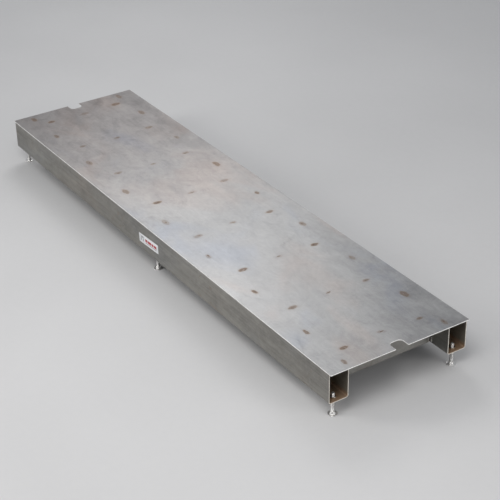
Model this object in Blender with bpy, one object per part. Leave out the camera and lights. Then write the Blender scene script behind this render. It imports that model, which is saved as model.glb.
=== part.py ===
"""Steel scaffold plank on six levelling feet.

A flush flat deck sheet lies on two folded U channels that run the length of
the plank, one under each long edge.  Eight vertical cross plates stand between
the channels.  Channels and plates reach into slots in the deck with short tabs
(tab-and-slot plug welds).  Each plate has an end flange folded along either
channel and two lugs folded under the deck, with a plug-weld slot over each.
Six M12 studs with turned pads screw into weld nuts under the channels' webs and
set the height.

Frame: metres, +Z up.  X is the length, Y the width.  The origin is on the
ground under the middle of the deck, with the pads standing on z = 0.
"""
import math

import bmesh
import bpy
from mathutils import Matrix, Vector
from mathutils.geometry import tessellate_polygon

# ---------------------------------------------------------------- dimensions
GAP = 0.0003                      # clearance between neighbouring pieces

DECK_L = 2.000                    # deck length
DECK_W = 0.492                    # deck width
DECK_T = 0.003                    # deck sheet
HEIGHT = 0.1600                   # ground to the top of the deck
NOTCH_W = 0.044                   # notch in the middle of each deck end
NOTCH_D = 0.035
NOTCH_R = 0.013                   # its inner corners

SHEET = 0.003                     # channel and plate sheet
CH_L = 1.980                      # channel length, set back from the deck ends
CH_IN = 0.1775                    # |y| of the channel's inner side
CH_OUT = 0.2452                   # |y| of the channel's outer side
CH_H = 0.1000                     # channel depth
CH_R = 0.0075                     # outer radius of its two bends

TAB_L = 0.015                     # tab length along the sheet
CH_TAB_X = (0.0, 0.262, 0.524, 0.787, 0.966)     # tabs along a channel, both ways
PLATE_X = (0.128, 0.389, 0.649, 0.905)           # cross plates, both ways
PLATE_FLANGE = 0.013              # end flange, folded along the channel wall
PLATE_RELIEF = 0.014              # the flange stops short of the channel's bend
PLATE_R = 0.0045                  # outer radius of the plate's bends
LUG_Y = 0.135                     # two lugs a plate, folded under the deck
LUG_W = 0.040
LUG_L = 0.016
LUG_SLOT_X = 0.0075               # plug-weld slot over a lug, from the plate

FOOT_X = (-0.967, 0.0, 0.967)     # feet along each channel
FOOT_Y = 0.2145
SCREW_R = 0.006                   # M12 stud
SCREW_TOP = 0.0730                # top of the stud above the ground
SCREW_NECK_R = 0.0050             # turned end that sits in the pad
PAD_R = 0.0145
PAD_BOSS_TOP = 0.0095
PAD_SOCKET_Z = 0.0025
NUT_AF = 0.019                    # weld nut under the web, across its flats
NUT_H = 0.0100
WEB_HOLE_R = 0.0070               # clearance hole in the channel's web

LABEL_L = 0.123                   # data label on the left channel's outer side
LABEL_H = 0.032
LABEL_T = 0.0003
LABEL_X = 0.002
LABEL_Z = 0.1060                  # its middle above the ground
LABEL_TILT = math.radians(2.5)    # stuck on slightly askew

DECK_Z0 = HEIGHT - DECK_T         # underside of the deck
CH_Z1 = DECK_Z0 - GAP             # top of the channel walls
CH_Z0 = CH_Z1 - CH_H              # underside of the channels
WEB_TOP = CH_Z0 + SHEET
TAB_TOP = HEIGHT - GAP            # tabs end just under the deck's top face

# ---------------------------------------------------------------- materials
COLOURS = {
    "deck": ((0.55, 0.55, 0.56, 1.0), 0.42, 1.0),
    "channel": ((0.42, 0.41, 0.39, 1.0), 0.50, 1.0),
    "plate": ((0.40, 0.39, 0.37, 1.0), 0.52, 1.0),
    "nut": ((0.48, 0.45, 0.42, 1.0), 0.45, 1.0),
    "screw": ((0.78, 0.77, 0.76, 1.0), 0.20, 1.0),
    "pad": ((0.76, 0.75, 0.74, 1.0), 0.22, 1.0),
    "label": ((0.82, 0.83, 0.84, 1.0), 0.45, 0.0),
}


def material(kind, name):
    colour, rough, metal = COLOURS[kind]
    mat = bpy.data.materials.new(name)
    mat.use_nodes = True
    shader = mat.node_tree.nodes["Principled BSDF"]
    shader.inputs["Base Color"].default_value = colour
    shader.inputs["Roughness"].default_value = rough
    shader.inputs["Metallic"].default_value = metal
    mat.diffuse_color = colour
    return mat


# ---------------------------------------------------------------- helpers
def add_object(name, bm, kind=None, smooth=None):
    mesh = bpy.data.meshes.new(name)
    bmesh.ops.recalc_face_normals(bm, faces=bm.faces)
    bm.to_mesh(mesh)
    bm.free()
    if smooth is not None:
        mesh.shade_smooth()
        mesh.set_sharp_from_angle(angle=smooth)
    obj = bpy.data.objects.new(name, mesh)
    bpy.context.scene.collection.objects.link(obj)
    if kind is not None:
        mesh.materials.append(material(kind, name))
    else:
        obj.hide_render = True
        obj.display_type = 'WIRE'
    return obj


def prism(bm, outline, holes, low, high, place):
    """Closed prism over a flat outline with holes; place(u, v, w) gives the point."""
    loops = [list(outline)] + [list(h) for h in holes]
    flat = [p for loop in loops for p in loop]
    tris = tessellate_polygon([[Vector((u, v, 0.0)) for u, v in loop] for loop in loops])
    bottom = [bm.verts.new(place(u, v, low)) for u, v in flat]
    top = [bm.verts.new(place(u, v, high)) for u, v in flat]
    for a, b, c in tris:
        bm.faces.new((bottom[a], bottom[b], bottom[c]))
        bm.faces.new((top[c], top[b], top[a]))
    start = 0
    for loop in loops:
        n = len(loop)
        for i in range(n):
            j = (i + 1) % n
            bm.faces.new((bottom[start + i], bottom[start + j],
                          top[start + j], top[start + i]))
        start += n


def arc(cu, cv, r, a0, a1, steps):
    """Points on an arc from angle a0 to a1 in degrees."""
    out = []
    for i in range(steps + 1):
        a = math.radians(a0 + (a1 - a0) * i / steps)
        out.append((cu + r * math.cos(a), cv + r * math.sin(a)))
    return out


def box(bm, low, high):
    size = [h - l for l, h in zip(low, high)]
    mid = [(h + l) / 2 for l, h in zip(low, high)]
    bmesh.ops.create_cube(bm, size=1.0, matrix=Matrix.Translation(mid) @ Matrix.Diagonal((*size, 1.0)))


def turned(bm, profile, segments):
    """Solid of revolution about Z; the profile runs from the axis back to the axis."""
    rings = []
    for r, z in profile:
        if r < 1e-9:
            rings.append([bm.verts.new((0.0, 0.0, z))])
        else:
            rings.append([bm.verts.new((r * math.cos(2 * math.pi * k / segments),
                                        r * math.sin(2 * math.pi * k / segments), z))
                          for k in range(segments)])
    for lower, upper in zip(rings, rings[1:]):
        for k in range(segments):
            m = (k + 1) % segments
            if len(lower) == 1:
                bm.faces.new((lower[0], upper[k], upper[m]))
            elif len(upper) == 1:
                bm.faces.new((lower[k], upper[0], lower[m]))
            else:
                bm.faces.new((lower[k], upper[k], upper[m], lower[m]))


def boolean(obj, tool, operation):
    mod = obj.modifiers.new(tool.name, 'BOOLEAN')
    mod.object = tool
    mod.operation = operation
    mod.solver = 'EXACT'


def slot(cx, cy, lx, ly):
    """Rectangular slot outline."""
    return [(cx - lx / 2, cy - ly / 2), (cx + lx / 2, cy - ly / 2),
            (cx + lx / 2, cy + ly / 2), (cx - lx / 2, cy + ly / 2)]


def mirrored(values):
    return sorted({s * v for v in values for s in (-1.0, 1.0)})


# ---------------------------------------------------------------- scene reset
for old in list(bpy.data.objects):
    bpy.data.objects.remove(old, do_unlink=True)


# ---------------------------------------------------------------- deck
def deck_outline():
    """Deck edge, anticlockwise, with a round-cornered notch in each end."""
    hx, hy, nw = DECK_L / 2, DECK_W / 2, NOTCH_W / 2
    bottom = hx - NOTCH_D
    right = [(hx, -hy), (hx, -nw)]
    right += arc(bottom + NOTCH_R, -nw + NOTCH_R, NOTCH_R, 270, 180, 6)
    right += arc(bottom + NOTCH_R, nw - NOTCH_R, NOTCH_R, 180, 90, 6)
    right += [(hx, nw), (hx, hy)]
    return right + [(-x, -y) for x, y in right]


CH_TAB_Y = CH_IN + SHEET / 2
slots = []
for x in mirrored(CH_TAB_X):
    for y in (-CH_TAB_Y, CH_TAB_Y):
        slots.append(slot(x, y, TAB_L + 2 * GAP, SHEET + 2 * GAP))
for x in mirrored(PLATE_X):
    side = 1.0 if x > 0 else -1.0
    slots.append(slot(x, 0.0, SHEET + 2 * GAP, TAB_L + 2 * GAP))
    for y in (-LUG_Y, LUG_Y):
        slots.append(slot(x + side * LUG_SLOT_X, y, SHEET + 2 * GAP, TAB_L + 2 * GAP))

bm = bmesh.new()
prism(bm, deck_outline(), slots, DECK_Z0, HEIGHT, lambda u, v, w: (u, v, w))
add_object("deck_plate", bm, "deck")


# ---------------------------------------------------------------- channels
def channel_profile():
    """U section in (y, z), walls up, drawn for the side with positive y."""
    yi, yo, z0, z1 = CH_IN, CH_OUT, CH_Z0, CH_Z1
    ro, ri = CH_R, CH_R - SHEET
    outer = [(yi, z1)] + arc(yi + ro, z0 + ro, ro, 180, 270, 5)
    outer += arc(yo - ro, z0 + ro, ro, 270, 360, 5) + [(yo, z1)]
    inner = [(yo - SHEET, z1)] + arc(yo - ro, z0 + ro, ri, 360, 270, 5)
    inner += arc(yi + ro, z0 + ro, ri, 270, 180, 5) + [(yi + SHEET, z1)]
    return outer + inner


def channel(name, side):
    bm = bmesh.new()
    prism(bm, channel_profile(), [], -CH_L / 2, CH_L / 2, lambda u, v, w: (w, side * u, v))
    body = add_object(name, bm, "channel", math.radians(30))

    tabs = bmesh.new()
    for x in mirrored(CH_TAB_X):
        ys = sorted((side * CH_IN, side * (CH_IN + SHEET)))
        box(tabs, (x - TAB_L / 2, ys[0], CH_Z1 - 0.004), (x + TAB_L / 2, ys[1], TAB_TOP))
    boolean(body, add_object(name + "_tabs", tabs), 'UNION')

    holes = bmesh.new()
    for x in FOOT_X:
        bmesh.ops.create_cone(holes, cap_ends=True, segments=24, radius1=WEB_HOLE_R, radius2=WEB_HOLE_R,
                              depth=0.02, matrix=Matrix.Translation((x, side * FOOT_Y, CH_Z0 + SHEET / 2)))
    boolean(body, add_object(name + "_holes", holes), 'DIFFERENCE')
    return body


channel("left_channel", -1.0)
channel("right_channel", 1.0)


# ---------------------------------------------------------------- cross plates
def plate_profile():
    """Plate with its two end flanges, in (x, y) about the plate's own plane."""
    ye = CH_IN - GAP
    t, ro, ri = SHEET, PLATE_R, PLATE_R - SHEET
    xa, xf = -t / 2, -t / 2 + PLATE_FLANGE
    outer = arc(xa + ro, -ye + ro, ro, 180, 270, 5)
    upper = arc(xa + ro, ye - ro, ro, 90, 180, 5)
    loop = list(outer) + [(xf, -ye), (xf, -ye + t)]
    loop += arc(xa + ro, -ye + ro, ri, 270, 180, 5)
    loop += arc(xa + ro, ye - ro, ri, 180, 90, 5)
    loop += [(xf, ye - t), (xf, ye)] + list(upper)
    return loop


def lug_profile():
    """Lug folded from the plate's top edge, in (x, z) about the plate's plane."""
    t, ro, ri = SHEET, PLATE_R, PLATE_R - SHEET
    x0, z1 = -t / 2, CH_Z1
    outer = [(x0, z1 - 0.012)] + arc(x0 + ro, z1 - ro, ro, 180, 90, 5) + [(x0 + LUG_L, z1)]
    inner = [(x0 + LUG_L, z1 - t)] + arc(x0 + ro, z1 - ro, ri, 90, 180, 5) + [(x0 + t, z1 - 0.012)]
    return outer + inner


def cross_plate(name, x, side):
    bm = bmesh.new()
    prism(bm, plate_profile(), [], CH_Z0, CH_Z1, lambda u, v, w: (x + side * u, v, w))
    body = add_object(name, bm, "plate", math.radians(30))

    relief = bmesh.new()
    xs = sorted((x + side * SHEET / 2, x + side * (PLATE_FLANGE + 0.002)))
    for sy in (-1.0, 1.0):
        ys = sorted((sy * (CH_IN - 0.006), sy * (CH_IN + 0.002)))
        box(relief, (xs[0], ys[0], CH_Z0 - 0.002), (xs[1], ys[1], CH_Z0 + PLATE_RELIEF))
        box(relief, (x - 0.004, sy * LUG_Y - LUG_W / 2, CH_Z1 - 0.006),
            (x + 0.004, sy * LUG_Y + LUG_W / 2, CH_Z1 + 0.002))
    boolean(body, add_object(name + "_relief", relief), 'DIFFERENCE')

    tab = bmesh.new()
    box(tab, (x - SHEET / 2, -TAB_L / 2, CH_Z1 - 0.004), (x + SHEET / 2, TAB_L / 2, TAB_TOP))
    boolean(body, add_object(name + "_tab", tab), 'UNION')

    lugs = bmesh.new()
    for y in (-LUG_Y, LUG_Y):
        prism(lugs, lug_profile(), [], y - LUG_W / 2 + 0.001, y + LUG_W / 2 - 0.001,
              lambda u, v, w: (x + side * u, w, v))
    boolean(body, add_object(name + "_lugs", lugs), 'UNION')
    return body


for number, x in enumerate(mirrored(PLATE_X), 1):
    cross_plate("cross_plate_%d" % number, x, 1.0 if x > 0 else -1.0)


# ---------------------------------------------------------------- levelling feet
def nut(name, x, y):
    z0 = CH_Z0 - GAP - NUT_H
    radius = NUT_AF / 2 / math.cos(math.radians(30))
    hexagon = [(radius * math.cos(math.radians(60 * k)), radius * math.sin(math.radians(60 * k)))
               for k in range(6)]
    bore = arc(0.0, 0.0, SCREW_R + GAP, 0, 360, 24)[:-1]
    bm = bmesh.new()
    prism(bm, hexagon, [bore], z0, z0 + NUT_H, lambda u, v, w: (u, v, w))
    obj = add_object(name, bm, "nut")
    obj.location = (x, y, 0.0)
    return obj


def screw_profile():
    z0 = PAD_SOCKET_Z + GAP
    shoulder = PAD_BOSS_TOP + GAP
    return [(0.0, z0), (SCREW_NECK_R - 0.0006, z0), (SCREW_NECK_R, z0 + 0.0006),
            (SCREW_NECK_R, shoulder), (SCREW_R - 0.0006, shoulder), (SCREW_R, shoulder + 0.0006),
            (SCREW_R, SCREW_TOP - 0.0018), (SCREW_R - 0.0005, SCREW_TOP - 0.0008),
            (SCREW_R - 0.0016, SCREW_TOP), (0.0, SCREW_TOP)]


def pad_profile():
    socket = SCREW_NECK_R + GAP
    return [(0.0, 0.0), (PAD_R - 0.0004, 0.0), (PAD_R, 0.0005), (PAD_R, 0.0018), (PAD_R - 0.0006, 0.0024),
            (0.0105, 0.0031), (0.0086, 0.0045), (0.0077, 0.0066), (0.0073, PAD_BOSS_TOP - 0.0006),
            (0.0068, PAD_BOSS_TOP), (socket, PAD_BOSS_TOP), (socket, PAD_SOCKET_Z), (0.0, PAD_SOCKET_Z)]


def foot(prefix, x, y):
    nut(prefix + "_weld_nut", x, y)
    for part, profile, segments in (("foot_screw", screw_profile(), 24), ("foot_pad", pad_profile(), 28)):
        bm = bmesh.new()
        turned(bm, profile, segments)
        obj = add_object(prefix + "_" + part, bm, part.split("_")[1], math.radians(30))
        obj.location = (x, y, 0.0)


for side_name, side in (("left", -1.0), ("right", 1.0)):
    for place, x in zip(("rear", "middle", "front"), FOOT_X):
        foot(side_name + "_" + place, x, side * FOOT_Y)


# ---------------------------------------------------------------- label
bm = bmesh.new()
y1 = -CH_OUT - GAP
hl, hh, r = LABEL_L / 2, LABEL_H / 2, 0.002
tilt = Matrix.Rotation(LABEL_TILT, 2)
corners = (arc(hl - r, hh - r, r, 0, 90, 4) + arc(-hl + r, hh - r, r, 90, 180, 4)
           + arc(-hl + r, -hh + r, r, 180, 270, 4) + arc(hl - r, -hh + r, r, 270, 360, 4))
corners = [tuple(tilt @ Vector(p)) for p in corners]
prism(bm, corners, [], y1 - LABEL_T, y1, lambda u, v, w: (LABEL_X + u, w, LABEL_Z + v))
add_object("label", bm, "label")
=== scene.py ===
"""Looks of the steel scaffold plank: fine meshes, materials, floor, light and camera."""
import math
import random

import bmesh
import bpy
from mathutils import Matrix, Vector, noise
from mathutils.geometry import tessellate_polygon


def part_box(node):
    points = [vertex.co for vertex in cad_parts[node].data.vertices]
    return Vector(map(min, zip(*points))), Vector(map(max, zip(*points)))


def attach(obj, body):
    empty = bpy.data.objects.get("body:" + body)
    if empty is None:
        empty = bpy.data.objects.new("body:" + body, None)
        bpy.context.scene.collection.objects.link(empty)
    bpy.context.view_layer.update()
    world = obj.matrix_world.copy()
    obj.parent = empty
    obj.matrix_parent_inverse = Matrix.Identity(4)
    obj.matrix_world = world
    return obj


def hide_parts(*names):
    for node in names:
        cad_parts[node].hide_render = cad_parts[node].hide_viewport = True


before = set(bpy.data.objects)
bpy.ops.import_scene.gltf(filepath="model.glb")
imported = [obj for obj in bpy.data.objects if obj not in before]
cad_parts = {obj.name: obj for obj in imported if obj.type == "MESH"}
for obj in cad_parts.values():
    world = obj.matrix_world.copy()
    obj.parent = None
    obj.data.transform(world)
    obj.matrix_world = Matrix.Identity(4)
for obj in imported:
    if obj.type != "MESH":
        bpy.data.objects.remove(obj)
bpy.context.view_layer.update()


# ------------------------------------------------------------------ sizes read from the imported parts, and given ones
deck_lo, deck_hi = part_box("deck_plate")
HX, HY = deck_hi[0], deck_hi[1]
DECK_Z0, TOP = deck_lo[2], deck_hi[2]
chl_lo, chl_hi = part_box("left_channel")
chr_lo, chr_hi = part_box("right_channel")
CH_X = chr_hi[0]
CH_IN, CH_OUT = chr_lo[1], chr_hi[1]
CH_Z0 = chr_lo[2]
CH_Z1 = DECK_Z0 - 0.0003
SHEET = 0.003
CH_R = 0.0075
NOTCH_W, NOTCH_D, NOTCH_R = 0.044, 0.035, 0.013
TAB_X = (0.0, 0.262, 0.524, 0.787, 0.966)
LUG_Y = 0.135
LUG_SLOT_X = 0.0075
FEET = [(s, p) for s in ("left", "right") for p in ("rear", "middle", "front")]
PLATES = ["cross_plate_%d" % i for i in range(1, 9)]


def middle(node):
    lo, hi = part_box(node)
    return Vector([(lo[i] + hi[i]) / 2 for i in range(3)])


# ------------------------------------------------------------------ mesh helpers
def finish_mesh(name, bm, mats, angle=35.0, flat_over=None):
    bmesh.ops.recalc_face_normals(bm, faces=bm.faces)
    mesh = bpy.data.meshes.new(name)
    bm.to_mesh(mesh)
    bm.free()
    mesh.shade_smooth()
    mesh.set_sharp_from_angle(angle=math.radians(angle))
    if flat_over is not None:
        for p in mesh.polygons:
            if p.area > flat_over or abs(p.normal.z) > 0.9999 or abs(p.normal.x) > 0.9999:
                p.use_smooth = False
    for m in mats:
        mesh.materials.append(m)
    obj = bpy.data.objects.new(name, mesh)
    bpy.context.scene.collection.objects.link(obj)
    return obj


def arc(cu, cv, r, a0, a1, steps):
    return [(cu + r * math.cos(math.radians(a0 + (a1 - a0) * i / steps)),
             cv + r * math.sin(math.radians(a0 + (a1 - a0) * i / steps))) for i in range(steps + 1)]


def inset(loop, d):
    """Moves a closed anticlockwise outline inwards by d."""
    out, n = [], len(loop)
    for i in range(n):
        a, b, c = Vector(loop[i - 1]), Vector(loop[i]), Vector(loop[(i + 1) % n])
        e0, e1 = (b - a).normalized(), (c - b).normalized()
        n0, n1 = Vector((-e0.y, e0.x)), Vector((-e1.y, e1.x))
        m = n0 + n1
        k = d * 2.0 / max(m.length_squared, 0.3)
        out.append(tuple(b + m * k))
    return out


def soft_prism(bm, outline, w0, w1, place, edge=0.0004, cap_mat=0, side_mat=0, steps=1, holes=()):
    """Prism over an outline whose cut edges are rounded over by edge."""
    outline = list(outline)
    if area(outline) < 0:
        outline.reverse()
    rings = []
    for loop in [outline] + [list(h) for h in holes]:
        sign = 1.0
        if loop is not outline and area(loop) > 0:
            loop.reverse()
        ring = []
        levels = [(edge, w0), (edge * 0.3, w0 + edge * 0.3), (0.0, w0 + edge)]
        for i in range(1, steps):
            levels.append((0.0, w0 + edge + (w1 - w0 - 2 * edge) * i / steps))
        levels += [(0.0, w1 - edge), (edge * 0.3, w1 - edge * 0.3), (edge, w1)]
        for d, w in levels:
            pts = inset(loop, sign * d) if d > 0 else loop
            ring.append([bm.verts.new(place(u, v, w)) for u, v in pts])
        for a, b in zip(ring, ring[1:]):
            n = len(a)
            for i in range(n):
                j = (i + 1) % n
                f = bm.faces.new((a[i], a[j], b[j], b[i]))
                f.material_index = side_mat
        rings.append((ring, loop, sign))
    for end in (0, -1):
        loops2d = [inset(loop, sign * edge) for ring, loop, sign in rings]
        verts = [v for ring, loop, sign in rings for v in ring[end]]
        for tri in tessellate_polygon([[Vector((u, v, 0)) for u, v in lp] for lp in loops2d]):
            f = bm.faces.new([verts[k] for k in tri])
            f.material_index = cap_mat


def area(loop):
    return 0.5 * sum(loop[i - 1][0] * loop[i][1] - loop[i][0] * loop[i - 1][1] for i in range(len(loop)))


def turned(bm, profile, segments, at=(0, 0), mat=0):
    """Solid of revolution about a vertical axis through at."""
    rings = []
    for r, z in profile:
        if r < 1e-9:
            rings.append([bm.verts.new((at[0], at[1], z))])
        else:
            rings.append([bm.verts.new((at[0] + r * math.cos(2 * math.pi * k / segments),
                                        at[1] + r * math.sin(2 * math.pi * k / segments), z))
                          for k in range(segments)])
    for a, b in zip(rings, rings[1:]):
        for k in range(segments):
            m = (k + 1) % segments
            if len(a) == 1:
                f = bm.faces.new((a[0], b[k], b[m]))
            elif len(b) == 1:
                f = bm.faces.new((a[k], b[0], a[m]))
            else:
                f = bm.faces.new((a[k], b[k], b[m], a[m]))
            f.material_index = mat


def bead(bm, path, radius, seed, flat=None, mat=0, closed=False, ripple=0.0016):
    """A weld bead along a path: a rippled tube with tapered ends."""
    rng = random.Random(seed)
    pts = [Vector(p) for p in path]
    n = len(pts)
    seg = 12
    rings = []
    phase = rng.random() * 6.28
    run = 0.0
    for i, p in enumerate(pts):
        q0, q1 = pts[i - 1] if (i or closed) else p, pts[(i + 1) % n] if (i < n - 1 or closed) else p
        t = (q1 - q0).normalized()
        if i:
            run += (p - pts[i - 1]).length
        up = Vector((0, 0, 1)) if abs(t.z) < 0.9 else Vector((1, 0, 0))
        side = t.cross(up).normalized()
        up = side.cross(t)
        r = radius * (1.0 + 0.055 * math.sin(run / ripple * 2 * math.pi + phase) + 0.05 * math.sin(run / ripple * 0.8 + 2 * phase))
        if not closed:
            e = min(i, n - 1 - i) / max(1.0, n * 0.16)
            r *= math.sqrt(max(0.06, min(1.0, e)))
        rings.append([bm.verts.new(p + side * (r * math.cos(2 * math.pi * k / seg))
                                   + up * (r * math.sin(2 * math.pi * k / seg))) for k in range(seg)])
    pairs = list(zip(rings, rings[1:])) + ([(rings[-1], rings[0])] if closed else [])
    for a, b in pairs:
        for k in range(seg):
            m = (k + 1) % seg
            bm.faces.new((a[k], a[m], b[m], b[k])).material_index = mat
    if not closed:
        bm.faces.new(rings[0]).material_index = mat
        bm.faces.new(rings[-1]).material_index = mat


# ------------------------------------------------------------------ node helpers
class Nodes:
    """Short names for building a node tree."""

    def __init__(self, name):
        self.mat = bpy.data.materials.new(name)
        self.mat.use_nodes = True
        self.tree = self.mat.node_tree
        self.shader = self.tree.nodes["Principled BSDF"]
        coord = self.tree.nodes.new("ShaderNodeTexCoord")
        self.p = coord.outputs["Object"]
        sep = self.tree.nodes.new("ShaderNodeSeparateXYZ")
        self.tree.links.new(self.p, sep.inputs[0])
        self.x, self.y, self.z = sep.outputs

    def put(self, socket, value):
        if isinstance(value, bpy.types.NodeSocket):
            self.tree.links.new(value, socket)
        else:
            socket.default_value = value

    def m(self, op, a, b=0.0, c=0.0, clamp=False):
        n = self.tree.nodes.new("ShaderNodeMath")
        n.operation = op
        n.use_clamp = clamp
        for s, v in zip(n.inputs, (a, b, c)):
            self.put(s, v)
        return n.outputs[0]

    def noise(self, scale=(1, 1, 1), detail=4.0, rough=0.55, distortion=0.0, shift=(0, 0, 0)):
        mp = self.tree.nodes.new("ShaderNodeMapping")
        self.put(mp.inputs["Vector"], self.p)
        mp.inputs["Scale"].default_value = scale
        mp.inputs["Location"].default_value = shift
        n = self.tree.nodes.new("ShaderNodeTexNoise")
        self.put(n.inputs["Vector"], mp.outputs[0])
        n.inputs["Scale"].default_value = 1.0
        n.inputs["Detail"].default_value = detail
        n.inputs["Roughness"].default_value = rough
        n.inputs["Distortion"].default_value = distortion
        return n.outputs["Fac"]

    def cells(self, scale, shift=(0, 0, 0), feature="F1", out="Distance"):
        mp = self.tree.nodes.new("ShaderNodeMapping")
        self.put(mp.inputs["Vector"], self.p)
        mp.inputs["Scale"].default_value = scale
        mp.inputs["Location"].default_value = shift
        n = self.tree.nodes.new("ShaderNodeTexVoronoi")
        n.feature = feature
        self.put(n.inputs["Vector"], mp.outputs[0])
        n.inputs["Scale"].default_value = 1.0
        return n.outputs[out]

    def band(self, v, lo, hi, a=0.0, b=1.0):
        n = self.tree.nodes.new("ShaderNodeMapRange")
        n.interpolation_type = "SMOOTHSTEP"
        for s, val in zip(n.inputs, (v, lo, hi, a, b)):
            self.put(s, val)
        return n.outputs[0]

    def ramp(self, fac, stops):
        n = self.tree.nodes.new("ShaderNodeValToRGB")
        while len(n.color_ramp.elements) < len(stops):
            n.color_ramp.elements.new(0.5)
        for e, (pos, col) in zip(n.color_ramp.elements, stops):
            e.position = pos
            e.color = (*col, 1.0)
        self.put(n.inputs[0], fac)
        return n.outputs[0]

    def mix(self, fac, a, b, mode="MIX"):
        n = self.tree.nodes.new("ShaderNodeMix")
        n.data_type = "RGBA"
        n.blend_type = mode
        self.put(n.inputs["Factor"], fac)
        for s, v in ((n.inputs[6], a), (n.inputs[7], b)):
            self.put(s, v if isinstance(v, bpy.types.NodeSocket) else (*v, 1.0))
        return n.outputs[2]

    def bump(self, height, strength, distance, normal=None):
        n = self.tree.nodes.new("ShaderNodeBump")
        n.inputs["Strength"].default_value = strength
        n.inputs["Distance"].default_value = distance
        self.put(n.inputs["Height"], height)
        if normal is not None:
            self.put(n.inputs["Normal"], normal)
        return n.outputs[0]

    def cell(self):
        """Three random values that stay the same over each mark."""
        ay = self.m("ABSOLUTE", self.y)
        outer = self.m("GREATER_THAN", ay, 0.157)
        along = self.m("DIVIDE", self.x, 0.262)
        cx = self.m("ADD", self.m("MULTIPLY", outer, self.m("ROUND", along)),
                    self.m("MULTIPLY", self.m("SUBTRACT", 1.0, outer), self.m("ADD", self.m("FLOOR", along), 20.0)))
        cy = self.m("MULTIPLY", self.m("SIGN", self.y), self.m("ADD", outer, self.m("GREATER_THAN", ay, 0.07)))
        comb = self.tree.nodes.new("ShaderNodeCombineXYZ")
        self.put(comb.inputs[0], cx)
        self.put(comb.inputs[1], cy)
        comb.inputs[2].default_value = 3.7
        n = self.tree.nodes.new("ShaderNodeTexWhiteNoise")
        n.noise_dimensions = "3D"
        self.put(n.inputs["Vector"], comb.outputs[0])
        sep = self.tree.nodes.new("ShaderNodeSeparateColor")
        self.put(sep.inputs[0], n.outputs["Color"])
        return sep.outputs

    def marks(self, spots, wander=0.006, cell=None):
        """Distance to the nearest of the oval spots (a, b, ra, rb), mirrored in x and y, 1 on the oval's rim."""
        wx = self.noise((60, 60, 60), 2.0, 0.5, shift=(3.1, 0.7, 0))
        wy = self.noise((60, 60, 60), 2.0, 0.5, shift=(0.4, 5.2, 0))
        fine = self.noise((190, 190, 190), 3.0, 0.65)
        ax = self.m("ABSOLUTE", self.x)
        ay = self.m("ABSOLUTE", self.y)
        ax = self.m("MULTIPLY_ADD", self.m("SUBTRACT", wx, 0.5), wander, ax)
        ay = self.m("MULTIPLY_ADD", self.m("SUBTRACT", wy, 0.5), wander, ay)
        if cell is not None:
            ax = self.m("MULTIPLY_ADD", self.m("SUBTRACT", cell[0], 0.5), 0.006, ax)
            ay = self.m("MULTIPLY_ADD", self.m("SUBTRACT", cell[1], 0.5), 0.005, ay)
        best = None
        for a, b, ra, rb in spots:
            du = self.m("MULTIPLY_ADD", ax, 1.0 / ra, -a / ra)
            dv = self.m("MULTIPLY_ADD", ay, 1.0 / rb, -b / rb)
            d = self.m("MULTIPLY_ADD", du, du, self.m("MULTIPLY", dv, dv))
            best = d if best is None else self.m("MINIMUM", best, d)
        d = self.m("SQRT", best)
        if cell is not None:
            d = self.m("MULTIPLY", d, self.m("MULTIPLY_ADD", cell[2], 0.45, 0.85))
        return self.m("MULTIPLY_ADD", self.m("SUBTRACT", fine, 0.5), 0.75, d)


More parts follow.
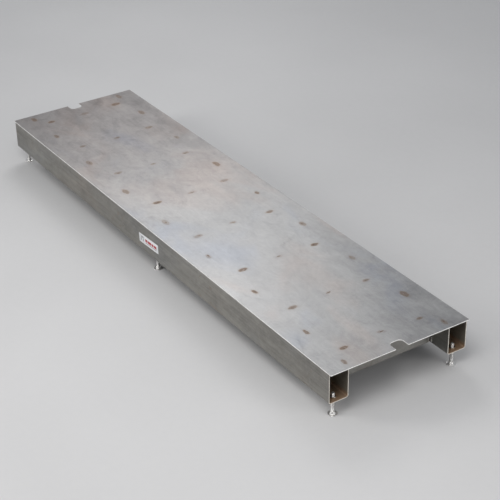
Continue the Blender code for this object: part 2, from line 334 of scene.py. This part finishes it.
def steel(name, dark, light, rough, streak=1.0, spots=None, rust=0.0, grain=1.0, metallic=1.0, tint=1.0,
          rings=None, inside=False, cloud=1.0, far_end_painted_shade=0.0):
    """Mill-finish sheet: long rolling streaks, mottling, smears, fine grain and heat tint."""
    k = Nodes(name)
    broad = k.noise((1.5, 3.0, 3.0), 5.0, 0.58, 0.6, (7.0, 2.0, 1.0))
    mott = k.noise((9.0, 13.0, 13.0), 6.0, 0.66, 1.3, (1.0, 4.0, 2.0))
    long_s = k.noise((1.1, 38.0, 38.0), 5.0, 0.62, 0.15, (0.0, 0.3, 0.7))
    fine_s = k.noise((5.0, 260.0, 260.0), 3.0, 0.6, 0.1)
    grit = k.noise((420.0, 520.0, 520.0), 2.0, 0.6)
    blotch = k.noise((32.0, 40.0, 40.0), 5.0, 0.7, 1.6, (4.0, 2.0, 6.0))
    v = k.m("MULTIPLY_ADD", k.m("SUBTRACT", broad, 0.5), 1.1 * cloud, 0.5)
    v = k.m("MULTIPLY_ADD", k.m("SUBTRACT", mott, 0.5), 0.95 * cloud, v)
    v = k.m("MULTIPLY_ADD", k.m("SUBTRACT", blotch, 0.5), 0.42, v)
    v = k.m("MULTIPLY_ADD", k.m("SUBTRACT", long_s, 0.5), 0.70 * streak, v)
    v = k.m("MULTIPLY_ADD", k.m("SUBTRACT", fine_s, 0.5), 0.42 * streak, v)
    v = k.m("MULTIPLY_ADD", k.m("SUBTRACT", grit, 0.5), 0.24 * grain, v, clamp=True)
    col = k.ramp(v, [(0.0, dark), (0.5, tuple((a + b) / 2 for a, b in zip(dark, light))), (1.0, light)])
    # cool and warm patches left by rolling oil and handling
    hue = k.noise((2.6, 4.2, 4.2), 3.0, 0.5, 0.6, (2.0, 9.0, 4.0))
    cool = k.band(hue, 0.52, 0.70)
    warm = k.band(hue, 0.48, 0.30)
    col = k.mix(k.m("MULTIPLY", cool, 0.60 * tint), col, (0.88, 0.94, 1.06), "MULTIPLY")
    col = k.mix(k.m("MULTIPLY", warm, 0.60 * tint), col, (1.06, 0.96, 0.91), "MULTIPLY")
    # painted shade: towards the far (-x) end the sheet is made darker and a little warmer, standing in for the light
    # falling off there
    if far_end_painted_shade > 0.0:
        rear = k.m("MULTIPLY_ADD", k.m("SUBTRACT", broad, 0.5), 1.2, k.m("MULTIPLY", k.x, -1.0))
        col = k.mix(k.m("MULTIPLY", k.band(rear, -0.35, 0.75), far_end_painted_shade), col, (0.865, 0.825, 0.81), "MULTIPLY")
    # wiped smears and a few pale scuffs
    smear = k.band(k.noise((5.0, 9.0, 9.0), 6.0, 0.7, 2.2, (5.0, 1.0, 8.0)), 0.56, 0.72)
    col = k.mix(k.m("MULTIPLY", smear, 0.28), col, (0.72, 0.74, 0.78), "MULTIPLY")
    scuff = k.band(k.noise((34.0, 90.0, 90.0), 5.0, 0.72, 1.6, (2.0, 7.0, 3.0)), 0.64, 0.74)
    col = k.mix(k.m("MULTIPLY", scuff, 0.26), col, (0.80, 0.81, 0.83))
    # faint outlines where oil or water dried
    tide = k.m("ABSOLUTE", k.m("SUBTRACT", k.noise((6.0, 8.0, 8.0), 3.0, 0.55, 1.0, (8.0, 3.0, 2.0)), 0.53))
    col = k.mix(k.m("MULTIPLY", k.band(tide, 0.008, 0.001), 0.16), col, (0.62, 0.62, 0.64), "MULTIPLY")
    if rust > 0.0:
        blot = k.band(k.noise((14.0, 22.0, 22.0), 5.0, 0.65, 1.0, (9.0, 3.0, 5.0)), 0.58, 0.76)
        col = k.mix(k.m("MULTIPLY", blot, rust), col, (0.26, 0.18, 0.115))
    metal = metallic
    heat = None
    if spots:
        cell = k.cell()
        d = k.marks(spots, 0.007, cell)
        centre = k.band(k.m("ABSOLUTE", k.y), 0.05, 0.09, 0.38, 1.0)
        uneven = k.m("MULTIPLY", k.m("MULTIPLY_ADD", k.m("POWER", cell[0], 1.2), 0.70, 0.34), centre)
        soot = k.m("MULTIPLY_ADD", cell[1], 0.75, 0.15)
        wide = k.m("MULTIPLY", k.band(d, 2.4, 0.7), uneven)
        halo = k.m("MULTIPLY", k.band(d, 1.55, 0.70), uneven)
        ring = k.m("MULTIPLY", k.m("MULTIPLY", k.band(d, 1.25, 0.95), k.band(d, 0.45, 0.85)), uneven)
        core = k.m("MULTIPLY", k.band(d, 1.0, 0.35), uneven)
        col = k.mix(k.m("MULTIPLY", wide, 0.40), col, (0.90, 0.80, 0.70), "MULTIPLY")
        col = k.mix(k.m("MULTIPLY", halo, 0.78), col, (0.76, 0.62, 0.51), "MULTIPLY")
        col = k.mix(k.m("MULTIPLY", ring, 0.60), col, (0.22, 0.150, 0.108))
        col = k.mix(k.m("MULTIPLY", core, soot), col, (0.15, 0.110, 0.088))
        heat = halo
    if rings:
        d = k.marks(rings, 0.004)
        ring = k.m("MULTIPLY", k.band(d, 2.6, 0.8), 0.9)
        col = k.mix(ring, col, (0.50, 0.33, 0.20), "MULTIPLY")
    if inside:
        ay = k.m("ABSOLUTE", k.y)
        in_y = k.m("MULTIPLY", k.band(ay, CH_IN + SHEET * 0.6, CH_IN + SHEET * 0.95), k.band(ay, CH_OUT - SHEET * 0.6, CH_OUT - SHEET * 0.95))
        hollow = k.m("MULTIPLY", in_y, k.band(k.z, CH_Z0 + SHEET * 0.6, CH_Z0 + SHEET * 0.95))
        low = k.band(k.z, CH_Z0 + 0.024, CH_Z0 + 0.004)
        near = k.band(k.m("ABSOLUTE", k.x), CH_X - 0.16, CH_X - 0.02)
        # painted shade: the whole inside of the channel is made darker and browner
        col = k.mix(k.m("MULTIPLY", hollow, 0.85), col, (0.84, 0.80, 0.71), "MULTIPLY")
        # orange-brown on the low web inside the channel, stronger within 0.16 m of the open ends
        web_orange = k.m("MULTIPLY", k.m("MULTIPLY", hollow, low), k.m("MULTIPLY_ADD", near, 0.50, 0.25))
        col = k.mix(web_orange, col, (0.44, 0.285, 0.18))
        metal = k.m("MULTIPLY_ADD", hollow, -0.45, metallic)
    k.put(k.shader.inputs["Base Color"], col)
    k.put(k.shader.inputs["Metallic"], metal)
    r = k.m("MULTIPLY_ADD", k.m("SUBTRACT", mott, 0.5), 0.26, rough)
    r = k.m("MULTIPLY_ADD", k.m("SUBTRACT", long_s, 0.5), 0.18 * streak, r)
    r = k.m("MULTIPLY_ADD", smear, 0.08, r)
    if heat is not None:
        r = k.m("MULTIPLY_ADD", heat, 0.10, r)
    k.put(k.shader.inputs["Roughness"], r)
    wave = k.noise((2.2, 4.5, 4.5), 2.0, 0.5, 0.0, (6.0, 6.0, 6.0))
    n = k.bump(wave, 0.35, 0.004)
    n = k.bump(long_s, 0.08 * streak, 0.0010, n)
    n = k.bump(k.m("ADD", fine_s, k.m("MULTIPLY", grit, 0.7)), 0.22 * grain, 0.00030, n)
    k.put(k.shader.inputs["Normal"], n)
    return k.mat


def edge_steel(name, colour=(0.93, 0.925, 0.91), rough=0.40, metallic=0.35):
    """Cut edge with the vertical drag lines of the cut; the default near-white colour with little metal is a painted
    highlight along the edge.
    """
    k = Nodes(name)
    drag = k.noise((520.0, 520.0, 60.0), 3.0, 0.6, 0.4)
    spots = k.noise((60.0, 60.0, 60.0), 4.0, 0.6, 0.5)
    v = k.m("MULTIPLY_ADD", k.m("SUBTRACT", drag, 0.5), 0.8, spots, clamp=True)
    dark = tuple(c * 0.76 for c in colour)
    k.put(k.shader.inputs["Base Color"], k.ramp(v, [(0.25, dark), (0.5, colour), (0.85, tuple(min(1.0, c * 1.12) for c in colour))]))
    k.shader.inputs["Metallic"].default_value = metallic
    k.put(k.shader.inputs["Roughness"], k.m("MULTIPLY_ADD", spots, 0.22, rough - 0.08))
    k.put(k.shader.inputs["Normal"], k.bump(drag, 0.35, 0.0004))
    return k.mat


def weld_steel(name, highlight_lift=0.0):
    """Weld bead: rippled, grey with straw and brown oxide and soot in the hollows."""
    k = Nodes(name)
    a = k.noise((260.0, 260.0, 260.0), 4.0, 0.65, 0.6)
    # the lift moves the bead towards the lighter greys as a painted highlight
    b = k.m("ADD", k.noise((45.0, 45.0, 45.0), 3.0, 0.55, 0.8), highlight_lift)
    col = k.ramp(b, [(0.28, (0.16, 0.105, 0.07)), (0.45, (0.36, 0.27, 0.19)), (0.60, (0.62, 0.60, 0.56)), (0.85, (0.78, 0.78, 0.77))])
    col = k.mix(k.m("MULTIPLY", k.band(a, 0.55, 0.30), 0.7), col, (0.25, 0.21, 0.18), "MULTIPLY")
    k.put(k.shader.inputs["Base Color"], col)
    k.shader.inputs["Metallic"].default_value = 1.0
    k.put(k.shader.inputs["Roughness"], k.m("MULTIPLY_ADD", a, 0.30, 0.18))
    k.put(k.shader.inputs["Normal"], k.bump(a, 0.5, 0.0005))
    return k.mat


def ground_weld(name):
    """Plug weld ground flush: fine swirl scratches over brown heat tint."""
    k = Nodes(name)
    a = k.noise((90.0, 90.0, 90.0), 4.0, 0.6, 1.2)
    s = k.noise((700.0, 120.0, 300.0), 2.0, 0.5, 0.3)
    col = k.ramp(k.m("MULTIPLY_ADD", k.m("SUBTRACT", s, 0.5), 0.5, a), [(0.22, (0.125, 0.085, 0.065)), (0.45, (0.21, 0.160, 0.130)), (0.60, (0.31, 0.265, 0.235)), (0.85, (0.46, 0.43, 0.41))])
    k.put(k.shader.inputs["Base Color"], col)
    k.shader.inputs["Metallic"].default_value = 1.0
    k.put(k.shader.inputs["Roughness"], k.m("MULTIPLY_ADD", a, 0.30, 0.30))
    k.put(k.shader.inputs["Normal"], k.bump(s, 0.35, 0.0003))
    return k.mat


def bright_steel(name, colour, rough, axis_rings=False, metallic=1.0):
    """Plated or turned hardware."""
    k = Nodes(name)
    a = k.noise((75.0, 75.0, 75.0), 4.0, 0.6, 0.8)
    lathe = k.noise((30.0, 30.0, 1500.0), 2.0, 0.5)
    dirt = k.band(a, 0.60, 0.36)
    col = k.ramp(a, [(0.25, tuple(c * 0.72 for c in colour)), (0.5, colour), (0.8, tuple(min(1.0, c * 1.06) for c in colour))])
    col = k.mix(k.m("MULTIPLY", k.band(k.noise((210.0, 210.0, 210.0), 3.0, 0.6), 0.58, 0.75), 0.25), col, (0.45, 0.38, 0.31), "MULTIPLY")
    k.put(k.shader.inputs["Base Color"], col)
    k.shader.inputs["Metallic"].default_value = metallic
    k.put(k.shader.inputs["Roughness"], k.m("MULTIPLY_ADD", dirt, 0.12, rough))
    k.put(k.shader.inputs["Normal"], k.bump(lathe if axis_rings else a, 0.18, 0.0003))
    return k.mat


def film(name, colour, rough=0.38):
    """Printed label film with a faint ripple and dust."""
    k = Nodes(name)
    a = k.noise((30.0, 30.0, 30.0), 4.0, 0.6, 0.5)
    g = k.noise((600.0, 600.0, 600.0), 2.0, 0.5)
    v = k.m("MULTIPLY_ADD", k.m("SUBTRACT", g, 0.5), 0.25, a)
    k.put(k.shader.inputs["Base Color"], k.ramp(v, [(0.25, tuple(c * 0.86 for c in colour)), (0.6, colour)]))
    k.shader.inputs["Metallic"].default_value = 0.0
    k.put(k.shader.inputs["Roughness"], k.m("MULTIPLY_ADD", a, 0.2, rough - 0.1))
    k.put(k.shader.inputs["Normal"], k.bump(a, 0.12, 0.0006))
    return k.mat


CH_TAB_Y = CH_IN + SHEET / 2
plate_x = sorted(abs(middle(n).x) for n in PLATES)
plate_x = sorted({round(v, 3) for v in plate_x})
# a plate's own plane, from its box: the flange and lugs reach outwards from it
plate_plane = sorted({round(min(abs(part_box(n)[0][0]), abs(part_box(n)[1][0])) + SHEET / 2, 4) for n in PLATES})
spots = [(x, CH_TAB_Y - 0.001, 0.0135, 0.0072) for x in TAB_X]
spots += [(x + LUG_SLOT_X, LUG_Y, 0.0072, 0.0130) for x in plate_plane]
spots += [(x, 0.0, 0.0064, 0.0118) for x in plate_plane]
foot_x = sorted({round(abs(middle("%s_%s_foot_pad" % f).x), 4) for f in FEET})
foot_y = abs(middle("left_front_foot_pad").y)

M_DECK = steel("deck_steel", (0.225, 0.225, 0.23), (0.575, 0.575, 0.575), 0.44, streak=0.42, spots=spots, metallic=0.90, cloud=0.8, far_end_painted_shade=1.0)
M_WALL = steel("channel_steel", (0.155, 0.150, 0.138), (0.455, 0.440, 0.405), 0.42, streak=1.25, rust=0.45, tint=0.6,
               rings=[(x, foot_y, 0.012, 0.012) for x in foot_x], inside=True, metallic=0.90)
M_PLATE = steel("plate_steel", (0.22, 0.215, 0.20), (0.50, 0.49, 0.46), 0.44, streak=1.0, rust=0.25, tint=0.6, metallic=0.90)
# near-white deck edge and bevel: painted highlight along the edge
M_EDGE = edge_steel("cut_edge")
M_EDGE2 = edge_steel("cut_edge_dull", (0.84, 0.80, 0.72), 0.44)
M_WELD = weld_steel("weld_bead")
# plate welds use lighter greys: painted highlight on the beads
M_WELD_PAINTED_HIGHLIGHT = weld_steel("weld_bead_painted_highlight", 0.16)
M_PLUG = ground_weld("ground_plug")
M_SCREW = bright_steel("screw_steel", (0.92, 0.91, 0.895), 0.27, metallic=0.82)
M_PAD = bright_steel("pad_steel", (0.88, 0.87, 0.855), 0.25, True, 0.85)
M_NUT = bright_steel("nut_steel", (0.55, 0.53, 0.50), 0.30)
M_LABEL = film("label_film", (0.84, 0.85, 0.87))
M_RED = film("label_red", (0.46, 0.035, 0.045))
M_GREY = film("label_grey", (0.30, 0.31, 0.33))

BODY = "plank"

# ------------------------------------------------------------------ deck
nw, bottom = NOTCH_W / 2, HX - NOTCH_D
half = [(HX, -HY), (HX, -nw)]
half += arc(bottom + NOTCH_R, -nw + NOTCH_R, NOTCH_R, 270, 180, 14)
half += arc(bottom + NOTCH_R, nw - NOTCH_R, NOTCH_R, 180, 90, 14)
half += [(HX, nw), (HX, HY)]
outline = half + [(-x, -y) for x, y in half]
bm = bmesh.new()
soft_prism(bm, outline, DECK_Z0, TOP, lambda u, v, w: (u, v, w), edge=0.0008, cap_mat=0, side_mat=1)
deck = finish_mesh("deck_skin", bm, [M_DECK, M_EDGE], 30, flat_over=0.01)
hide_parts("deck_plate")
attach(deck, BODY)

# plug welds over the tabs and lugs, ground almost flush
rng = random.Random(41)


def plug(bm, cx, cy, rx, ry, seed):
    local = random.Random(seed)
    ph = [local.random() * 6.28 for _ in range(3)]
    seg = 28
    rings = []
    for f, h in ((1.0, -0.0003), (0.99, 0.00002), (0.90, 0.00016), (0.72, 0.00022), (0.40, 0.00024)):
        ring = []
        for q in range(seg):
            a = 2 * math.pi * q / seg
            wob = 1.0 + 0.07 * math.sin(2 * a + ph[0]) + 0.06 * math.sin(3 * a + ph[1]) + 0.03 * math.sin(7 * a + ph[2])
            ca, sa = math.cos(a), math.sin(a)
            ring.append(bm.verts.new((cx + rx * f * wob * ca, cy + ry * f * wob * sa, TOP + h)))
        rings.append(ring)
    for a, b in zip(rings, rings[1:]):
        for q in range(seg):
            r = (q + 1) % seg
            bm.faces.new((a[q], a[r], b[r], b[q]))
    bm.faces.new(rings[0])
    bm.faces.new(rings[-1])


bm = bmesh.new()
count = 0
for sx in (-1, 1):
    for x in TAB_X:
        if x == 0.0 and sx < 0:
            continue
        for sy in (-1, 1):
            plug(bm, sx * x + rng.uniform(-.0012, .0012), sy * (CH_TAB_Y - 0.001) + rng.uniform(-.0008, .0008),
                 0.0070 * rng.uniform(.9, 1.1), 0.0027 * rng.uniform(.9, 1.15), count)
            count += 1
    for x in plate_plane:
        for y in (-LUG_Y, 0.0, LUG_Y):
            px = sx * (x + (LUG_SLOT_X if y else 0.0))
            plug(bm, px + rng.uniform(-.0008, .0008), y + rng.uniform(-.0012, .0012),
                 0.0026 * rng.uniform(.9, 1.15), 0.0072 * rng.uniform(.9, 1.1), count)
            count += 1
plugs = finish_mesh("plug_welds", bm, [M_PLUG], 60)
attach(plugs, BODY)


# ------------------------------------------------------------------ channels
def channel_profile():
    yi, yo, z0, z1 = CH_IN, CH_OUT, CH_Z0, CH_Z1
    ro, ri = CH_R, CH_R - SHEET
    outer = [(yi, z1)] + arc(yi + ro, z0 + ro, ro, 180, 270, 14) + arc(yo - ro, z0 + ro, ro, 270, 360, 14) + [(yo, z1)]
    inner = [(yo - SHEET, z1)] + arc(yo - ro, z0 + ro, ri, 360, 270, 14) + arc(yi + ro, z0 + ro, ri, 270, 180, 14)
    return outer + inner + [(yi + SHEET, z1)]


for side_name, side in (("left", -1.0), ("right", 1.0)):
    bm = bmesh.new()
    soft_prism(bm, channel_profile(), -CH_X, CH_X, lambda u, v, w: (w, side * u, v), edge=0.0004, cap_mat=1, side_mat=0)
    chan = finish_mesh(side_name + "_channel_skin", bm, [M_WALL, M_EDGE2], 30)
    # clearance holes for the studs
    bm = bmesh.new()
    for place in ("rear", "middle", "front"):
        c = middle("%s_%s_foot_pad" % (side_name, place))
        bmesh.ops.create_cone(bm, cap_ends=True, segments=48, radius1=0.007, radius2=0.007, depth=0.02,
                              matrix=Matrix.Translation((c.x, c.y, CH_Z0 + SHEET / 2)))
    cut = finish_mesh(side_name + "_cut", bm, [M_WALL], 30)
    mod = chan.modifiers.new("holes", 'BOOLEAN')
    mod.object = cut
    mod.operation = 'DIFFERENCE'
    mod.solver = 'EXACT'
    bpy.context.view_layer.update()
    made = bpy.data.meshes.new_from_object(chan.evaluated_get(bpy.context.evaluated_depsgraph_get()))
    chan.modifiers.clear()
    chan.data = made
    made.shade_smooth()
    made.set_sharp_from_angle(angle=math.radians(30))
    for p in made.polygons:
        if abs(p.normal.x) > 0.999 or p.area > 0.02:
            p.use_smooth = False
    bpy.data.objects.remove(cut, do_unlink=True)
    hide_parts(side_name + "_channel")
    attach(chan, BODY)

# ------------------------------------------------------------------ cross plates keep their solids
for n in PLATES:
    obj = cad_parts[n]
    for s in obj.material_slots:
        s.material = M_PLATE

# fillet welds in the corner between each plate and its folded ends, and on the folds' outer edges
bm = bmesh.new()
for i, n in enumerate(PLATES):
    lo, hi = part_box(n)
    side = 1.0 if middle(n).x > 0 else -1.0
    inner = min(abs(lo[0]), abs(hi[0]))
    outer = max(abs(lo[0]), abs(hi[0]))
    for sy in (-1.0, 1.0):
        y = sy * (CH_IN - SHEET - 0.0016)
        path = [(side * (inner + SHEET + 0.0006), y + sy * 0.0010, CH_Z0 + 0.0022 + 0.0170 * t / 60) for t in range(61)]
        bead(bm, path, 0.0036, 100 + i * 2 + int(sy), ripple=0.0019)
        for z in (0.064, 0.098, 0.132):
            path = [(side * (outer + 0.0002), sy * (CH_IN - 0.0010), z + 0.019 * t / 66) for t in range(67)]
            bead(bm, path, 0.0023, 300 + i * 7 + int(z * 1000) + int(sy), ripple=0.0018)
welds = finish_mesh("plate_welds", bm, [M_WELD_PAINTED_HIGHLIGHT], 60)
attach(welds, BODY)


# ------------------------------------------------------------------ weld nuts
def nut_mesh(name, cx, cy, z0, z1, af, bore):
    bm = bmesh.new()
    seg = 72
    r0 = af / 2 * 0.955
    t30 = math.tan(math.radians(30))
    rows = [[], [], [], [], [], [], [], []]
    for q in range(seg):
        a = 2 * math.pi * q / seg
        rel = (math.degrees(a) % 60.0) - 30.0
        hexr = af / 2 / math.cos(math.radians(rel))
        hexr = min(hexr, af / 2 / math.cos(math.radians(29.0)))
        drop = max(0.0, (hexr - r0)) * t30
        ca, sa = math.cos(a), math.sin(a)
        for row, (r, z) in zip(rows, ((bore, z0 + 0.0006), (bore + 0.0006, z0), (r0, z0), (hexr, z0 + drop),
                                      (hexr, z1 - drop), (r0, z1), (bore + 0.0006, z1), (bore, z1 - 0.0006))):
            row.append(bm.verts.new((cx + r * ca, cy + r * sa, z)))
    rows.append(rows[0])
    for a, b in zip(rows, rows[1:]):
        for q in range(seg):
            r = (q + 1) % seg
            bm.faces.new((a[q], a[r], b[r], b[q]))
    return finish_mesh(name, bm, [M_NUT], 28)


bm_w = bmesh.new()
for i, f in enumerate(FEET):
    node = "%s_%s_weld_nut" % f
    lo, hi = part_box(node)
    c = middle(node)
    af = min(hi[0] - lo[0], hi[1] - lo[1])
    obj = nut_mesh(node + "_body", c.x, c.y, lo[2], hi[2], af, 0.0063)
    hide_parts(node)
    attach(obj, BODY)
    # bead round the nut under the web, and the ring of melted metal on the web's top
    path = []
    for q in range(72):
        a = 2 * math.pi * q / 72
        rel = (math.degrees(a) % 60.0) - 30.0
        r = min(af / 2 / math.cos(math.radians(rel)), 0.01065) + 0.0006
        path.append((c.x + r * math.cos(a), c.y + r * math.sin(a), CH_Z0 - 0.0006))
    bead(bm_w, path, 0.0021, 500 + i, closed=True, ripple=0.0022)
    path = [(c.x + 0.0083 * math.cos(2 * math.pi * q / 48), c.y + 0.0083 * math.sin(2 * math.pi * q / 48), CH_Z0 + SHEET + 0.0002)
            for q in range(48)]
    bead(bm_w, path, 0.0016, 600 + i, closed=True, ripple=0.0021)
nut_welds = finish_mesh("nut_welds", bm_w, [M_WELD], 60)
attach(nut_welds, BODY)


# ------------------------------------------------------------------ levelling studs with a real thread
def stud(name, cx, cy, z_neck, z_thread, z_top, r_neck, r, pitch=0.00175):
    seg = 32
    root = r - 0.00092
    prof = ((0.0, root), (0.10, root), (0.44, r), (0.56, r), (0.90, root))
    turns = int((z_top - z_thread) / pitch) + 3
    start = z_thread - pitch
    bm = bmesh.new()

    def vert(step, kk):
        extra, kk = divmod(kk, len(prof))
        step += extra * seg
        off, rad = prof[kk]
        z = start + pitch * (step / seg + off)
        a = 2 * math.pi * step / seg
        if z <= z_thread:
            z, rad = z_thread, root
        if z >= z_top:
            z, rad = z_top, root
        rad = min(rad, max(root - 0.0006, r - 0.0002 - max(0.0, z - (z_top - 0.0018)) * 1.0))
        rad = min(rad, root + (z - z_thread) * 1.2)
        if z >= z_top:
            rad = root - 0.0006
        return (cx + rad * math.cos(a), cy + rad * math.sin(a), z)

    K = len(prof)
    steps = turns * seg
    grid = [[bm.verts.new(vert(s, q)) for q in range(K)] for s in range(steps + seg + 1)]
    for s in range(steps):
        for q in range(K):
            a, b = grid[s][q], grid[s + 1][q]
            c, d = (grid[s + 1][q + 1], grid[s][q + 1]) if q + 1 < K else (grid[s + 1 + seg][0], grid[s + seg][0])
            bm.faces.new((a, b, c, d))
    bmesh.ops.delete(bm, geom=[v for v in bm.verts if not v.link_faces], context='VERTS')
    bmesh.ops.remove_doubles(bm, verts=bm.verts, dist=1e-6)
    bmesh.ops.dissolve_degenerate(bm, edges=bm.edges, dist=1e-7)
    # close both ends with the turned neck and the flat tip
    for z_end, profile in ((z_thread, [(root - 0.0001, z_thread - 0.0006), (r_neck, z_thread - 0.0012), (r_neck, z_neck + 0.0006),
                                       (r_neck - 0.0006, z_neck)]),
                           (z_top, [(root - 0.0012, z_top + 0.0)])):
        edges = [e for e in bm.edges if e.is_boundary and abs(e.verts[0].co.z - z_end) < 1e-5 and abs(e.verts[1].co.z - z_end) < 1e-5]
        for rad, z in profile:
            ex = bmesh.ops.extrude_edge_only(bm, edges=edges)["geom"]
            for v in [g for g in ex if isinstance(g, bmesh.types.BMVert)]:
                d = Vector((v.co.x - cx, v.co.y - cy))
                d.normalize()
                v.co = Vector((cx + d.x * rad, cy + d.y * rad, z))
            edges = [g for g in ex if isinstance(g, bmesh.types.BMEdge)]
        bmesh.ops.edgeloop_fill(bm, edges=edges)
    open_edges = sum(1 for e in bm.edges if not e.is_manifold)
    obj = finish_mesh(name, bm, [M_SCREW], 40)
    if open_edges:
        print("open edges on", name, open_edges)
    return obj


for f in FEET:
    node = "%s_%s_foot_screw" % f
    lo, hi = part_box(node)
    c = middle(node)
    obj = stud(node + "_thread", c.x, c.y, lo[2], 0.0098 + 0.0012, hi[2], 0.0050, 0.0060)
    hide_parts(node)
    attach(obj, "%s_%s_screw" % f)

    node = "%s_%s_foot_pad" % f
    lo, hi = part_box(node)
    c = middle(node)
    R, top = (hi[0] - lo[0]) / 2, hi[2]
    prof = [(0.0, 0.0012), (0.0090, 0.0012), (0.0095, 0.0)] + [(R - 0.0006, 0.0)]
    prof += [(R - 0.0006 + 0.0006 * math.sin(math.radians(t)), 0.0006 - 0.0006 * math.cos(math.radians(t))) for t in (30, 60, 90)]
    prof += [(R, 0.0016)] + [(R - 0.0007 + 0.0007 * math.cos(math.radians(t)), 0.0016 + 0.0007 * math.sin(math.radians(t))) for t in (30, 60, 90)]
    # bell that sweeps from the rim up to the neck
    for t in range(0, 13):
        q = t / 12.0
        prof.append((0.0118 - 0.0044 * math.sin(q * math.pi / 2), 0.0026 + (top - 0.0006 - 0.0026) * (1 - math.cos(q * math.pi / 2)) ** 1.15))
    prof += [(0.0069, top), (0.0053 + 0.0004, top), (0.0053, top - 0.0004), (0.0053, 0.0025), (0.0, 0.0025)]
    bm = bmesh.new()
    turned(bm, prof, 64, (c.x, c.y))
    obj = finish_mesh(node + "_bell", bm, [M_PAD], 32)
    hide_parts(node)
    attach(obj, "%s_%s_pad" % f)

# ------------------------------------------------------------------ label: plain film with generic bars
lo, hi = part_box("label")
c = middle("label")
tilt = Matrix.Rotation(math.radians(2.5), 2)
LL, LH = 0.123, 0.032


def on_label(outline, y0, y1, bm, mat, edge):
    pts = [tuple(tilt @ Vector(p)) for p in outline]
    soft_prism(bm, pts, y0, y1, lambda u, v, w: (c.x + u, w, c.z + v), edge=edge, cap_mat=mat, side_mat=mat)


def bar(x0, x1, z0, z1, r=0.0006):
    return (arc(x1 - r, z1 - r, r, 0, 90, 3) + arc(x0 + r, z1 - r, r, 90, 180, 3)
            + arc(x0 + r, z0 + r, r, 180, 270, 3) + arc(x1 - r, z0 + r, r, 270, 360, 3))


bm = bmesh.new()
on_label(bar(-LL / 2, LL / 2, -LH / 2, LH / 2, 0.002), lo[1], hi[1], bm, 0, 0.00008)
skin = (lo[1] - 0.00006, lo[1] + 0.00004)
# a grey plain block with a slot, then a row of red blocks of uneven length over a long grey bar
on_label(bar(-0.050, -0.0335, 0.0035, 0.0085), *skin, bm, 2, 0.00001)
on_label(bar(-0.050, -0.0455, -0.0080, 0.0020), *skin, bm, 2, 0.00001)
on_label(bar(-0.0380, -0.0335, -0.0080, 0.0020), *skin, bm, 2, 0.00001)
for x0, x1 in ((-0.022, -0.009), (-0.006, 0.016), (0.019, 0.030), (0.033, 0.050)):
    on_label(bar(x0, x1, -0.0040, 0.0055), *skin, bm, 1, 0.00001)
on_label(bar(-0.022, 0.050, -0.0090, -0.0068), *skin, bm, 2, 0.00001)
label = finish_mesh("label_film", bm, [M_LABEL, M_RED, M_GREY], 30)
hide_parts("label")
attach(label, BODY)

# ------------------------------------------------------------------ floor, light, camera
bm = bmesh.new()
sweep = [(6.5 + 4.5 * math.sin(math.radians(t)), 6.0 * (1 - math.cos(math.radians(t)))) for t in range(0, 91, 6)]
turned(bm, [(0.0, 0.0), (1.5, 0.0), (3.0, 0.0), (4.5, 0.0), (6.0, 0.0)] + sweep, 96)
k = Nodes("pale_floor")
soft = k.noise((0.8, 0.8, 0.8), 3.0, 0.5)
speck = k.noise((40.0, 40.0, 40.0), 3.0, 0.6)
v = k.m("MULTIPLY_ADD", k.m("SUBTRACT", speck, 0.5), 0.15, soft)
k.put(k.shader.inputs["Base Color"], k.ramp(v, [(0.3, (0.60, 0.60, 0.605)), (0.7, (0.66, 0.66, 0.665))]))
k.shader.inputs["Roughness"].default_value = 0.9
floor = finish_mesh("floor", bm, [k.mat], 30)
floor.location.z = -0.0002


def area_light(name, at, target, size, power, colour=(1, 1, 1), size_y=None):
    light = bpy.data.lights.new(name, 'AREA')
    light.energy = power
    light.color = colour
    light.size = size
    if size_y:
        light.shape = 'RECTANGLE'
        light.size_y = size_y
    obj = bpy.data.objects.new(name, light)
    obj.location = at
    obj.rotation_euler = (Vector(target) - Vector(at)).to_track_quat('-Z', 'Y').to_euler()
    bpy.context.scene.collection.objects.link(obj)
    return obj


area_light("sky_box", (-2.35, 1.25, 2.65), (0.55, -0.25, 0.1), 1.5, 27, (1.0, 0.99, 0.98))
area_light("key", (1.6, -1.6, 2.9), (0.3, 0.0, 0.1), 1.8, 52, (1.0, 0.985, 0.965))
area_light("end_fill", (3.4, 1.0, 1.2), (0.95, 0.0, 0.08), 1.4, 20, (1.0, 0.98, 0.95))

area_light("rim", (-1.2, -3.0, 1.9), (0.0, -0.25, 0.1), 1.2, 34, (1.0, 0.985, 0.96))

world = bpy.data.worlds.new("studio")
bpy.context.scene.world = world
world.use_nodes = True
world.node_tree.nodes["Background"].inputs[0].default_value = (0.92, 0.95, 1.0, 1.0)
world.node_tree.nodes["Background"].inputs[1].default_value = 0.36
bpy.context.scene.view_settings.view_transform = 'Standard'

cam_data = bpy.data.cameras.new("camera")
cam_data.sensor_width = 36.0
cam_data.lens = 103.06
cam_data.clip_end = 100.0
cam = bpy.data.objects.new("camera", cam_data)
cam.matrix_world = Matrix(((0.549007, -0.410952, 0.727812, 3.559346),
                           (0.835613, 0.289130, -0.467070, -2.140035),
                           (-0.018489, 0.864594, 0.502131, 2.404367),
                           (0.0, 0.0, 0.0, 1.0)))
bpy.context.scene.collection.objects.link(cam)
bpy.context.scene.camera = cam
